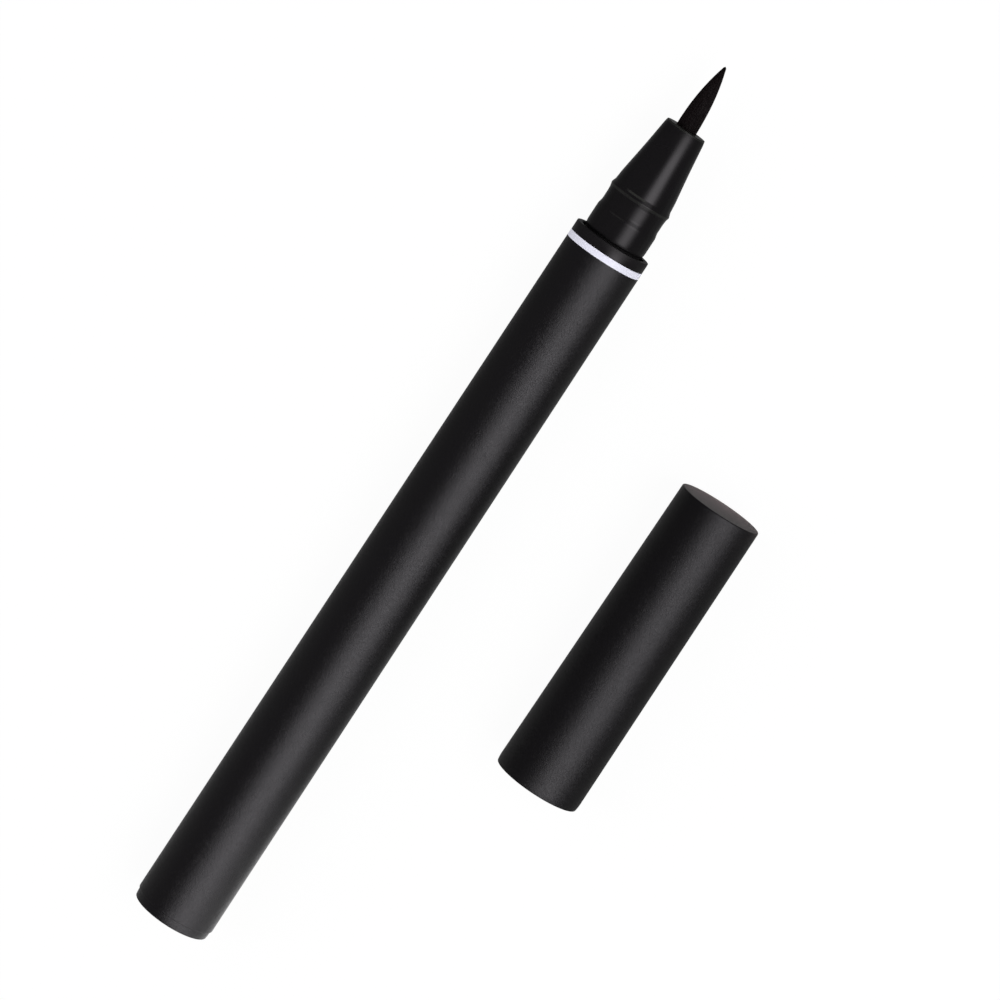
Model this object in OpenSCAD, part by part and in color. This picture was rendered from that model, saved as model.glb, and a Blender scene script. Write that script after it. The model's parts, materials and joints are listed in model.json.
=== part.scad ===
// Liquid eyeliner pen with a brush tip, lying on a table with its cap taken off.
// The pen lies along X with the brush towards +X, and the table is the plane z = 0.
// Every round piece is drawn upright, as [radius, distance from the tail] or, in the
// cap, as [radius, distance from the mouth], and is then laid down along X.

/* [Barrel] */
// Diameter of the barrel at the tail
barrel_tail_d = 10.5; // [10.2:0.05:11]
// Diameter of the barrel at the front
barrel_front_d = 10.01; // [9.8:0.01:10.2]
// Diameter of the ink bore
barrel_bore_d = 8.6; // [8.2:0.05:8.8]
// Length of the barrel's tube
barrel_len = 95.42; // [80:0.02:110]
// Chamfer on the two ends of the tube
barrel_edge = 0.1; // [0.05:0.01:0.15]

/* [Tail plug] */
// Diameter of the plug's outer flange
plug_flange_d = 10.18; // [9.6:0.02:10.4]
// Thickness of the plug's outer flange
plug_flange_len = 1.1; // [0.8:0.1:2]
// Rounding of the flange's outer edge
plug_edge_r = 0.2; // [0.1:0.05:0.4]
// Depth of the plug inside the barrel
plug_depth = 6.4; // [5:0.2:9]
// Wall of the plug's hollow body
plug_wall = 0.9; // [0.6:0.05:1.2]

/* [Mixing ball] */
// Diameter of the mixing ball
ball_d = 4; // [3:0.1:5]

/* [White ring] */
// Diameter of the white ring
ring_d = 9.99; // [9.7:0.01:10.2]
// Width of the white ring
ring_w = 0.86; // [0.5:0.02:1.5]

/* [Front collar] */
// Diameter of the front collar
collar_d = 9.96; // [9.7:0.01:10.2]
// Length of the front collar
collar_len = 1.36; // [1.2:0.02:3]
// Depth of the open gap between the collar and the nose
collar_recess = 0.85; // [0.5:0.05:1]
// Share of the stop's step that the gap takes, counted from the nose
collar_gap_share = 0.8; // [0.6:0.05:0.9]

/* [Front holder] */
// Diameter of the nose where the cap seats
nose_d = 8.06; // [7.8:0.01:8.1]
// Length of the seat in front of the collar
nose_len = 3.2; // [2.5:0.1:4.5]
// Diameter of the neck behind the snap bead
neck_d = 7.75; // [7.5:0.01:7.75]
// Length of the neck
neck_len = 2.15; // [1.4:0.05:3]
// Diameter of the snap bead
bead_d = 8.04; // [7.92:0.01:8.06]
// Rounding of the bead's crest
crest_r = 0.3; // [0.15:0.05:0.4]
// Slope from the neck up to the bead
bead_rise = 0.5; // [0.4:0.05:1.5]
// Slope from the bead down to the throat
bead_fall = 0.7; // [0.4:0.05:1.2]
// Diameter of the throat in front of the bead
throat_d = 7.63; // [7.5:0.01:7.7]
// Length of the throat
throat_len = 1.21; // [0.6:0.01:2]
// Diameter where the cone begins
cone_d = 7.45; // [7.2:0.01:7.48]
// Length of the cone
cone_len = 8.08; // [7:0.02:12]
// Depth of the slight hollow at the middle of the cone
cone_hollow = 0.05; // [0:0.01:0.08]
// Diameter of the nozzle at the cone's end
nozzle_d = 5.3; // [4.8:0.01:5.6]
// Chamfer on the nozzle's edge
nozzle_edge = 0.1; // [0.05:0.01:0.2]
// Length of the narrow bore that the brush leaves by
nozzle_bore_len = 4.2; // [3:0.1:5]
// Depth of the relief at the root of the nose
nose_relief = 0.2; // [0.16:0.01:0.3]
// How far the relief's floor shows in front of the collar
relief_show = 0.1; // [0.05:0.05:0.3]
// Length of the skirt inside the barrel
skirt_len = 7.5; // [6:0.1:10]
// Wall of the skirt
skirt_wall = 0.75; // [0.5:0.05:0.9]
// Diameter of the bore in the nose
nose_bore_d = 6; // [5.6:0.05:6.3]
// Number of air channels along the nose bore
air_channels = 3; // [2:1:6]
// Width of an air channel
air_channel_w = 0.5; // [0.3:0.05:0.8]
// Depth of an air channel
air_channel_h = 0.25; // [0.1:0.05:0.35]

/* [Brush] */
// Diameter of the brush where it leaves the nozzle
brush_d = 2.66; // [2.2:0.02:2.9]
// Length of the brush outside the nozzle
brush_len = 8.75; // [6:0.05:10]
// Number of strands
strands = 300; // [300:10:340]
// Share of the width of its cell that a strand's radius takes
strand_share = 0.38; // [0.25:0.01:0.4]
// Gap between the brush and the nozzle's bore
brush_gap = 0.06; // [0.04:0.01:0.12]
// Diameter of the fused flange at the back of the brush
brush_flange_d = 3.2; // [3:0.05:3.5]
// Thickness of that flange
brush_flange_len = 0.8; // [0.5:0.05:1.2]

/* [Brush ferrule] */
// Diameter of the ferrule
ferrule_d = 4; // [3.8:0.05:4.4]
// Length of the ferrule in front of its flange
ferrule_len = 6; // [4:0.1:7]
// Thickness of the ferrule's flange
ferrule_flange_len = 1; // [0.6:0.05:1.5]
// Depth of the ferrule's seat for the brush flange
ferrule_seat = 1.3; // [1.25:0.05:1.8]

/* [Collector] */
// Length of the collector inside the barrel
collector_len = 19; // [12:0.5:26]
// Diameter of the core that carries the fins
collector_core_d = 4.6; // [4:0.1:5.2]
// Thickness of one fin
fin_t = 0.3; // [0.2:0.02:0.4]
// Distance from one fin to the next
fin_pitch = 0.7; // [0.6:0.05:1.2]
// Length of the rear flange that holds the seal
seal_flange_len = 2.4; // [1.8:0.1:3.5]
// Thickness of the front flange
front_flange_len = 0.7; // [0.5:0.05:1.2]
// Width of the ink slit that joins the gaps
ink_slit_w = 0.3; // [0.2:0.02:0.5]
// Width of the air slot on the far side
air_slot_w = 1; // [0.6:0.05:1.4]
// Depth of the air slot from the fins' rim
air_slot_h = 1.2; // [0.8:0.05:1.7]

/* [Collector seal] */
// Thickness of the seal ring
seal_t = 0.9; // [0.7:0.05:1]
// Side play of the seal ring in its groove
seal_play = 0.1; // [0.06:0.02:0.2]

/* [Feed core] */
// Diameter of the fibre feed core
core_d = 1.8; // [1.4:0.05:2.2]
// Chamfer on the ends of the feed core
core_edge = 0.2; // [0.1:0.05:0.3]

/* [Cap] */
// Length of the cap
cap_len = 40.4; // [38:0.05:50]
// Diameter of the cap at its mouth
cap_mouth_d = 11.39; // [11.2:0.01:11.8]
// Diameter of the cap at its closed end
cap_end_d = 10.79; // [10.6:0.01:11.2]
// Diameter of the cap's bore
cap_bore_d = 9.5; // [9.3:0.05:9.6]
// Thickness of the closed end
cap_end_wall = 1.1; // [0.8:0.1:2]
// Rounding of the edges of the cap
cap_edge_r = 0.15; // [0.05:0.05:0.25]
// Number of ribs inside the closed end
cap_ribs = 6; // [4:1:8]
// Width of a rib
cap_rib_w = 0.6; // [0.4:0.05:0.9]
// Height of a rib above the bore
cap_rib_h = 0.85; // [0.5:0.05:0.9]
// Length of a rib
cap_rib_len = 14.5; // [8:0.5:15]
// Height of the boss that the spring stands around
boss_h = 1.5; // [0.8:0.1:2.5]

/* [Cap liner] */
// How far the liner's snap ridge reaches under the bead
snap_grip = 0.075; // [0.04:0.005:0.09]
// Width of the snap ridge's crest
ridge_w = 0.5; // [0.3:0.05:0.7]
// Length of the snap ridge's slopes
ridge_slope = 0.35; // [0.2:0.05:0.5]
// Distance from the bead to the guide bore of the inner cap
guide_room = 1.2; // [0.8:0.05:1.5]

/* [Inner cap] */
// Diameter of the inner cap where it slides
inner_cap_d = 7.76; // [7.6:0.02:7.8]
// Diameter of the mouth that seals on the cone
seal_mouth_d = 6.4; // [6.1:0.05:6.6]
// Diameter of the inner cap's room for the brush
brush_room_d = 4; // [3.6:0.1:4.6]
// Free length in front of the brush tip
tip_room = 1.5; // [1:0.1:3]
// Wall of the inner cap
inner_wall = 0.8; // [0.6:0.05:0.9]
// Gap between the inner cap's flange and the cap's bore
inner_flange_gap = 0.15; // [0.1:0.01:0.3]
// Thickness of the inner cap's flange
inner_flange_len = 1; // [0.6:0.1:1.5]
// How far the cone pushes the inner cap back when the cap is closed
inner_press = 0.8; // [0.4:0.1:1.2]

/* [Cap spring] */
// Thickness of the spring wire
wire_d = 0.5; // [0.4:0.02:0.55]
// Diameter of the spring at the middle of its wire
spring_d = 6.7; // [6.5:0.05:6.8]
// Number of curls
curls = 9; // [6:1:10]
// Gap between the spring and the boss that it stands around
spring_gap = 0.2; // [0.1:0.05:0.3]

/* [Fits] */
// Gap around pieces that are pressed together
fit = 0.02; // [0.01:0.005:0.03]
// Height of the ribs that snap into grooves
snap_h = 0.1; // [0.06:0.01:0.12]
// Width of those ribs
snap_w = 0.7; // [0.5:0.05:1]
// Gap between the cap and the pen's nose and collar
cap_fit = 0.1; // [0.06:0.01:0.14]
// Gap around the sliding inner cap
slide_gap = 0.07; // [0.04:0.01:0.1]
// Small gap between pieces that move against a stop
stop_gap = 0.05; // [0.03:0.01:0.1]

/* [Resting place] */
// Distance between the pen's axis and the cap's axis
cap_aside = 28.23; // [14:0.5:40]
// Distance from the tail to the mouth of the cap
cap_along = 38.73; // [20:0.01:60]
// Distance from the brush tip to the cap's mouth when the cap is drawn in line with the pen
cap_ahead = 28; // [26:1:60]

/* [Hidden] */

// One length of overrun for every cut, and the number of steps in a rounded edge.
overrun = 0.5;
arc_steps = 4;
$fn = 64;

// Radii of the pen
bore_r = barrel_bore_d / 2;
press_r = bore_r - fit;
groove_r = bore_r + snap_h + fit;
groove_w = snap_w + 2 * snap_h;
stop_r = bore_r + snap_h;
nose_r = nose_d / 2;
collar_lip_r = nose_r + (stop_r - nose_r) * collar_gap_share;
skirt_in_r = press_r - skirt_wall;
brush_r = brush_d / 2;

// Distances from the tail
barrel_end = plug_flange_len + barrel_len;
plug_end = plug_flange_len + plug_depth;
ring_end = barrel_end + ring_w;
collar_end = ring_end + collar_len;
shoulder_end = collar_end - collar_recess;
nose_end = collar_end + nose_len;
neck_end = nose_end + neck_len;
bead_top = neck_end + bead_rise;
bead_end = bead_top + bead_fall;
cone_start = bead_end + throat_len;
cone_middle = cone_start + cone_len / 2;
cone_middle_r = (cone_d + nozzle_d) / 4 - cone_hollow;
nozzle_end = cone_start + cone_len;
tip = nozzle_end + brush_len;
skirt_start = barrel_end - skirt_len;
collector_start = skirt_start - collector_len;

// Inside the nose: the ferrule's flange rests on a step, and the nozzle's bore begins
// where the ferrule ends.
ferrule_end = nozzle_end - nozzle_bore_len;
ferrule_step = ferrule_end - ferrule_len;
ferrule_start = ferrule_step - ferrule_flange_len;
ferrule_flange_r = nose_bore_d / 2 - stop_gap;
brush_start = ferrule_start + ferrule_seat - brush_flange_len;
brush_bore_r = brush_r + brush_gap;

// The strands leave their fused root just inside the nozzle.
root_sink = brush_r / 4;
root_end = nozzle_end - root_sink;

// Distances from the cap's mouth. The mouth stops at the white ring when it is on the pen.
rebate_depth = collar_len + stop_gap;
rebate_r = collar_d / 2 + cap_fit;
liner_r = nose_r + cap_fit;
ridge_r = bead_d / 2 - snap_grip;
ridge_middle = nose_end + neck_len / 2 - ring_end;
guide_start = bead_top + guide_room - ring_end;
guide_r = inner_cap_d / 2 + slide_gap;
seal_at_cone = lookup(seal_mouth_d / 2, [
    [nozzle_d / 2, nozzle_end], [cone_middle_r, cone_middle], [cone_d / 2, cone_start]
]);
inner_start = seal_at_cone - ring_end - inner_press;
wide_end = nozzle_end - ring_end - inner_press + inner_wall;
flange_start = wide_end + inner_wall;
flange_end = flange_start + inner_flange_len;
room_end = tip - ring_end - inner_press + tip_room;
liner_end = flange_start - stop_gap;
cap_floor = cap_len - cap_end_wall;
boss_r = (spring_d - wire_d) / 2 - spring_gap;
inner_flange_r = cap_bore_d / 2 - inner_flange_gap;

// Where the two lie: the frame's origin is at the middle of their box, on the table.
pen_z = barrel_tail_d / 2;
cap_z = cap_mouth_d / 2;
pen_y = (cap_aside + cap_mouth_d / 2 - barrel_tail_d / 2) / 2;
cap_y = pen_y - cap_aside;
tail_x = -tip / 2;
mouth_x = tail_x + cap_along;

// The ball lies on the floor of the bore. The barrel's taper tips the lying pen a little
// forwards, so the ball rests against the collector.
ball_drop = bore_r - ball_d / 2 - stop_gap;
ball_at = collector_start - ball_d / 2 - stop_gap;

// Lays an upright pen piece, drawn from the tail at 0, down along X.
module on_pen() translate([tail_x, pen_y, pen_z]) rotate([0, 90, 0]) children();

// Lays an upright cap piece, drawn from the mouth at 0, down along X.
module on_cap() translate([mouth_x, cap_y, cap_z]) rotate([0, 90, 0]) children();

// Points of a rounded edge around the centre c
function arc(c, r, a0, a1) = [
    for (i = [0 : arc_steps]) let (a = a0 + (a1 - a0) * i / arc_steps)
        [c[0] + r * cos(a), c[1] + r * sin(a)]
];

// Points of a snap rib or groove of radius r on a wall of radius wall, centred at z
function rib(wall, r, z, w) = let (rise = abs(r - wall)) [
    [wall, z - w / 2], [r, z - w / 2 + rise], [r, z + w / 2 - rise], [wall, z + w / 2]
];

function backwards(points) = [for (i = [len(points) - 1 : -1 : 0]) points[i]];

// The crest of the bead turns by this angle to each side of its top.
crest_angle = 30;

// Middle of the snap joints, from the tail
plug_snap_at = plug_flange_len + plug_depth / 2;
skirt_snap_at = skirt_start + skirt_len / 2;

// The tube, with a groove for the plug and one for the front holder
module barrel()
    color([0.11, 0.11, 0.115])
    on_pen()
    rotate_extrude()
    polygon(concat(
        [
            [bore_r, plug_flange_len],
            [barrel_tail_d / 2 - barrel_edge, plug_flange_len],
            [barrel_tail_d / 2, plug_flange_len + barrel_edge],
            [barrel_front_d / 2, barrel_end - barrel_edge],
            [barrel_front_d / 2 - barrel_edge, barrel_end],
            [bore_r, barrel_end]
        ],
        backwards(rib(bore_r, groove_r, skirt_snap_at, groove_w)),
        backwards(rib(bore_r, groove_r, plug_snap_at, groove_w))
    ));

// The plug: a flange that closes the tail, and a hollow body with a snap rib between
// two sealing lands
plug_body_r = press_r - snap_h;
plug_land = plug_depth / 6;
module tail_plug()
    color([0.12, 0.12, 0.125])
    on_pen()
    rotate_extrude()
    polygon(concat(
        [[0, 0]],
        arc([plug_flange_d / 2 - plug_edge_r, plug_edge_r], plug_edge_r, -90, 0),
        [
            [plug_flange_d / 2, plug_flange_len],
            [press_r, plug_flange_len],
            [press_r, plug_flange_len + plug_land],
            [plug_body_r, plug_flange_len + plug_land + snap_h]
        ],
        rib(plug_body_r, bore_r + snap_h - fit, plug_snap_at, snap_w + 2 * snap_h),
        [
            [plug_body_r, plug_end - plug_land - snap_h],
            [press_r, plug_end - plug_land],
            [press_r, plug_end - 2 * snap_h],
            [press_r - 2 * snap_h, plug_end],
            [plug_body_r - plug_wall, plug_end],
            [plug_body_r - plug_wall, plug_flange_len + plug_wall],
            [0, plug_flange_len + plug_wall]
        ]
    ));

// The steel ball that stirs the ink when the pen is shaken
module mixing_ball()
    color([0.7, 0.71, 0.73])
    on_pen()
    translate([ball_drop, 0, ball_at])
    sphere(d = ball_d);

// The collector holds surplus ink between its fins. Its rear flange carries the seal,
// and its front end reaches through the holder to the ferrule.
seal_groove_w = seal_t + seal_play;
seal_groove_r = press_r - seal_t;
seal_at = collector_start + seal_flange_len / 2;
comb_start = collector_start + seal_flange_len + fin_pitch - fin_t;
comb_end = skirt_start - front_flange_len;
fins = floor((comb_end - comb_start) / fin_pitch);
spigot_step = barrel_end + ring_w;
core_hole_r = core_d / 2 + fit;
module collector()
    color([0.82, 0.83, 0.82])
    on_pen()
    difference() {
        rotate_extrude()
        polygon(concat(
            [
                [core_hole_r, collector_start],
                [press_r, collector_start],
                [press_r, seal_at - seal_groove_w / 2],
                [seal_groove_r, seal_at - seal_groove_w / 2],
                [seal_groove_r, seal_at + seal_groove_w / 2],
                [press_r, seal_at + seal_groove_w / 2],
                [press_r, collector_start + seal_flange_len],
                [collector_core_d / 2, collector_start + seal_flange_len]
            ],
            [
                for (i = [0 : fins - 1]) let (z = comb_start + i * fin_pitch) each [
                    [collector_core_d / 2, z], [press_r, z],
                    [press_r, z + fin_t], [collector_core_d / 2, z + fin_t]
                ]
            ],
            [
                [collector_core_d / 2, comb_end],
                [press_r, comb_end],
                [press_r, skirt_start],
                [skirt_in_r - fit, skirt_start],
                [skirt_in_r - fit, spigot_step],
                [nose_bore_d / 2 - fit, spigot_step],
                [nose_bore_d / 2 - fit, ferrule_start],
                [core_hole_r, ferrule_start]
            ]
        ));
        // The ink slit runs along the top of the fins, down into the core.
        translate([-bore_r - overrun, -ink_slit_w / 2, comb_start - fin_pitch])
            cube([bore_r + overrun - (core_hole_r + collector_core_d / 2) / 2, ink_slit_w,
                comb_end + fin_pitch - comb_start]);
        // The air slot runs along the bottom, through the fins only.
        translate([press_r - air_slot_h, -air_slot_w / 2, collector_start + seal_flange_len])
            cube([air_slot_h + overrun, air_slot_w,
                comb_end - collector_start - seal_flange_len]);
    }

// The rubber ring in the groove of the collector's rear flange
module collector_seal()
    color([0.16, 0.15, 0.15])
    on_pen()
    translate([0, 0, seal_at])
    rotate_extrude()
    translate([bore_r - fit / 2 - seal_t / 2, 0])
    circle(d = seal_t - fit / 2);

// The fibre rod that carries ink from the chamber to the brush
core_end = brush_start - fit;
module feed_core()
    color([0.72, 0.7, 0.68])
    on_pen()
    rotate_extrude()
    polygon([
        [0, collector_start],
        [core_d / 2 - core_edge, collector_start],
        [core_d / 2, collector_start + core_edge],
        [core_d / 2, core_end - core_edge],
        [core_d / 2 - core_edge, core_end],
        [0, core_end]
    ]);

// The front holder: a skirt that snaps into the barrel, a stop that rests on its end,
// and the nose with the seat and snap bead of the cap
module front_holder()
    color([0.1, 0.1, 0.105])
    on_pen()
    difference() {
        rotate_extrude()
        polygon(concat(
            [
                [skirt_in_r, skirt_start],
                [press_r - snap_h, skirt_start],
                [press_r, skirt_start + snap_h]
            ],
            rib(press_r, bore_r + snap_h - fit, skirt_snap_at, snap_w + 2 * snap_h),
            [
                [press_r, barrel_end],
                [stop_r, barrel_end],
                [stop_r, shoulder_end],
                [nose_r - nose_relief, shoulder_end],
                [nose_r - nose_relief, collar_end + relief_show],
                [nose_r, collar_end + relief_show + nose_relief],
                [nose_r, nose_end - (nose_d - neck_d) / 2],
                [neck_d / 2, nose_end],
                [neck_d / 2, neck_end]
            ],
            arc([bead_d / 2 - crest_r, bead_top], crest_r, -crest_angle, crest_angle),
            [
                [throat_d / 2, bead_end],
                [cone_d / 2, cone_start],
                [cone_middle_r, cone_middle],
                [nozzle_d / 2, nozzle_end - nozzle_edge],
                [nozzle_d / 2 - nozzle_edge, nozzle_end],
                [brush_bore_r, nozzle_end],
                [brush_bore_r, ferrule_end + fit],
                [ferrule_d / 2 + fit, ferrule_end + fit],
                [ferrule_d / 2 + fit, ferrule_step],
                [nose_bore_d / 2, ferrule_step],
                [nose_bore_d / 2, spigot_step + fit],
                [skirt_in_r, spigot_step + fit]
            ]
        ));
        for (i = [0 : air_channels - 1])
            rotate([0, 0, 360 * i / air_channels])
            translate([nose_bore_d / 2 - overrun, -air_channel_w / 2, spigot_step + fit])
                cube([overrun + air_channel_h, air_channel_w, ferrule_step - spigot_step - fit]);
    }

// The sleeve that centres the brush in the nose
module brush_ferrule()
    color([0.6, 0.6, 0.6])
    on_pen()
    rotate_extrude()
    polygon([
        [brush_flange_d / 2 + fit, ferrule_start],
        [ferrule_flange_r, ferrule_start],
        [ferrule_flange_r, ferrule_step],
        [ferrule_d / 2, ferrule_step],
        [ferrule_d / 2, ferrule_end],
        [brush_r + fit, ferrule_end],
        [brush_r + fit, ferrule_start + ferrule_seat],
        [brush_flange_d / 2 + fit, ferrule_start + ferrule_seat]
    ]);

// The strands stand in a spiral of equal cells. They all draw in by the same rule, so
// that none crosses another: at the share u of the brush's length, every distance from
// the axis, and every strand's thickness, is the root's own times narrowing(u).
golden = 137.508;
tip_share = 0.04;
narrowing_power = 2.2;
station_shares = [0.35, 0.62, 0.84];
end_shares = [1, 0.97, 0.94];
rim_end_share = 0.05;
strand_r = strand_share * brush_r * sqrt(PI / strands);
function narrowing(u) = 1 - (1 - tip_share) * pow(u, narrowing_power);
function strand_ring(at, turn, z, k, thick) = [
    for (j = [0 : 2]) let (a = turn + 120 * j)
        [at[0] * k + thick * k * cos(a), at[1] * k + thick * k * sin(a), z]
];
// The strands end at three lengths in turn, and a little shorter towards the rim.
function strand_end(i) = end_shares[i % 3] - rim_end_share * i / strands;
function strand_points(i) = let (
    r = (brush_r - strand_r) * sqrt((i + 0.5) / strands),
    at = [r * cos(i * golden), r * sin(i * golden)],
    turn = i * golden,
    end = strand_end(i)
) concat(
    strand_ring(at, turn, root_end - root_sink, 1, strand_r),
    [
        for (s = station_shares) each
            strand_ring(at, turn, nozzle_end + s * end * brush_len, narrowing(s * end), strand_r)
    ],
    [[at[0] * narrowing(end), at[1] * narrowing(end), nozzle_end + end * brush_len]]
);
rings = len(station_shares) + 1;
function strand_faces(first) = concat(
    [[first, first + 1, first + 2]],
    [
        for (k = [0 : rings - 2], j = [0 : 2]) let (
            a = first + 3 * k + j,
            b = first + 3 * k + (j + 1) % 3
        ) each [[a, a + 3, b], [b, a + 3, b + 3]]
    ],
    [
        for (j = [0 : 2])
            [first + 3 * (rings - 1) + j, first + 3 * rings, first + 3 * (rings - 1) + (j + 1) % 3]
    ]
);

// The brush: a fused bundle with a flange at its back, and the free strands
module brush_bristles()
    color([0.07, 0.06, 0.065])
    on_pen() {
        rotate_extrude()
        polygon([
            [0, brush_start],
            [brush_flange_d / 2, brush_start],
            [brush_flange_d / 2, brush_start + brush_flange_len],
            [brush_r, brush_start + brush_flange_len],
            [brush_r, root_end],
            [0, root_end]
        ]);
        polyhedron(
            points = [for (i = [0 : strands - 1]) each strand_points(i)],
            faces = [for (i = [0 : strands - 1]) each strand_faces(i * (3 * rings + 1))]
        );
    }

// The white ring between the barrel and the collar
module white_ring()
    color([0.89, 0.88, 0.93])
    on_pen()
    rotate_extrude()
    polygon([
        [stop_r + fit, barrel_end],
        [ring_d / 2, barrel_end],
        [ring_d / 2, ring_end],
        [stop_r + fit, ring_end]
    ]);

// The front collar sits on the holder's stop, and its lip rests on the stop's face.
module front_collar()
    color([0.11, 0.11, 0.115])
    on_pen()
    rotate_extrude()
    polygon([
        [stop_r + fit, ring_end],
        [collar_d / 2, ring_end],
        [collar_d / 2, collar_end - barrel_edge],
        [collar_d / 2 - barrel_edge, collar_end],
        [collar_lip_r, collar_end],
        [collar_lip_r, shoulder_end],
        [stop_r + fit, shoulder_end]
    ]);

// The cap's shell, with a rebate over the collar, a groove for the liner, ribs that
// centre the spring, and a boss that it stands on
liner_snap_at = rebate_depth + 2 * groove_w;
module cap_shell()
    color([0.11, 0.11, 0.115])
    on_cap() {
        rotate_extrude()
        polygon(concat(
            [[rebate_r, 0]],
            arc([cap_mouth_d / 2 - cap_edge_r, cap_edge_r], cap_edge_r, -90, 0),
            arc([cap_end_d / 2 - cap_edge_r, cap_len - cap_edge_r], cap_edge_r, 0, 90),
            [
                [0, cap_len],
                [0, cap_floor - boss_h],
                [boss_r, cap_floor - boss_h],
                [boss_r, cap_floor],
                [cap_bore_d / 2, cap_floor]
            ],
            backwards(rib(cap_bore_d / 2, cap_bore_d / 2 + snap_h + fit, liner_snap_at, groove_w)),
            [
                [cap_bore_d / 2, rebate_depth],
                [rebate_r, rebate_depth]
            ]
        ));
        // A rib is bedded in the wall by half of the wall's thickness.
        for (i = [0 : cap_ribs - 1])
            rotate([0, 0, 360 * i / cap_ribs])
            translate([cap_bore_d / 2 - cap_rib_h, -cap_rib_w / 2, cap_floor - cap_rib_len])
                cube([cap_rib_h + (cap_end_d - cap_bore_d) / 4, cap_rib_w,
                    cap_rib_len + cap_end_wall / 2]);
    }

// The liner: it grips the bead, guides the inner cap and keeps it in
liner_out_r = cap_bore_d / 2 - fit;
module cap_liner()
    color([0.13, 0.13, 0.135])
    on_cap()
    rotate_extrude()
    polygon(concat(
        [
            [liner_r + snap_h, rebate_depth],
            [liner_out_r, rebate_depth]
        ],
        rib(liner_out_r, liner_out_r + snap_h, liner_snap_at, snap_w),
        [
            [liner_out_r, liner_end],
            [guide_r, liner_end],
            [guide_r, guide_start + liner_r - guide_r],
            [liner_r, guide_start],
            [liner_r, ridge_middle + ridge_w / 2 + ridge_slope],
            [ridge_r, ridge_middle + ridge_w / 2],
            [ridge_r, ridge_middle - ridge_w / 2],
            [liner_r, ridge_middle - ridge_w / 2 - ridge_slope],
            [liner_r, rebate_depth + snap_h]
        ]
    ));

// The inner cap: a sprung cup whose mouth seals on the cone and whose narrow end keeps
// the brush from drying
module inner_cap()
    color([0.85, 0.85, 0.83])
    on_cap()
    rotate_extrude()
    polygon([
        [seal_mouth_d / 2 + snap_h, inner_start],
        [inner_cap_d / 2 - snap_h, inner_start],
        [inner_cap_d / 2, inner_start + snap_h],
        [inner_cap_d / 2, flange_start],
        [inner_flange_r, flange_start],
        [inner_flange_r, flange_end],
        [brush_room_d / 2 + inner_wall, flange_end],
        [brush_room_d / 2 + inner_wall, room_end + inner_wall / 2],
        [brush_room_d / 2 + inner_wall / 2, room_end + inner_wall],
        [0, room_end + inner_wall],
        [0, room_end],
        [brush_room_d / 2, room_end],
        [brush_room_d / 2, wide_end + inner_wall / 2],
        [seal_mouth_d / 2, wide_end],
        [seal_mouth_d / 2, inner_start + snap_h]
    ]);

// The spring is one tube swept along a helix between the flange and the cap's floor.
spring_start = flange_end + wire_d / 2 + fit;
spring_end = cap_floor - wire_d / 2 - fit;
coil_rings = 8;
tube_sides = 6;
coil_steps = curls * coil_rings;
coil_pitch = (spring_end - spring_start) / curls;
coil_lean = atan(coil_pitch / (PI * spring_d));
function coil_point(i) = let (a = 360 * i / coil_rings) [
    spring_d / 2 * cos(a),
    spring_d / 2 * sin(a),
    spring_start + coil_pitch * i / coil_rings
];
function coil_ring(i) = let (
    a = 360 * i / coil_rings,
    out = [cos(a), sin(a), 0],
    up = [sin(a) * sin(coil_lean), -cos(a) * sin(coil_lean), cos(coil_lean)]
) [
    for (j = [0 : tube_sides - 1]) let (b = 360 * j / tube_sides)
        coil_point(i) + wire_d / 2 * (cos(b) * out + sin(b) * up)
];
module cap_spring()
    color([0.66, 0.67, 0.69])
    on_cap()
    polyhedron(
        points = [for (i = [0 : coil_steps]) each coil_ring(i)],
        faces = concat(
            [for (j = [1 : tube_sides - 2]) [0, j + 1, j]],
            [
                for (i = [0 : coil_steps - 1], j = [0 : tube_sides - 1]) let (
                    a = tube_sides * i + j,
                    b = tube_sides * i + (j + 1) % tube_sides
                ) each [[a, b, a + tube_sides], [b, b + tube_sides, a + tube_sides]]
            ],
            [
                for (j = [1 : tube_sides - 2]) let (last = tube_sides * coil_steps)
                    [last, last + j, last + j + 1]
            ]
        )
    );

// The least gap between the curls of the spring, measured on its points
coil_gap = min([
    for (i = [0 : coil_steps], k = [i + coil_rings / 2 : 1 : coil_steps])
        norm(coil_point(i) - coil_point(k))
]) - wire_d;
echo(coil_gap = coil_gap);
echo(tip = tip, cap_travel = [tip + cap_ahead - cap_along, cap_aside]);

barrel();
tail_plug();
mixing_ball();
collector();
collector_seal();
feed_core();
front_holder();
brush_ferrule();
brush_bristles();
white_ring();
front_collar();
cap_shell();
cap_liner();
inner_cap();
cap_spring();
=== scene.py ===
"""Dresses a liquid eyeliner pen and its cap, which lie side by side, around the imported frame.

The turned shells are made again with fine edges from their outlines, the brush, the
spring and the cap's ribs grow in Geometry Nodes trees, and every piece gets a finish.
Outlines are in millimetres as (distance, radius): from the tail on the pen, from the
mouth on the cap. Everything that Blender holds is in metres.
"""

import json
import math

import bmesh
import bpy
from mathutils import Matrix, Vector


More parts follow.
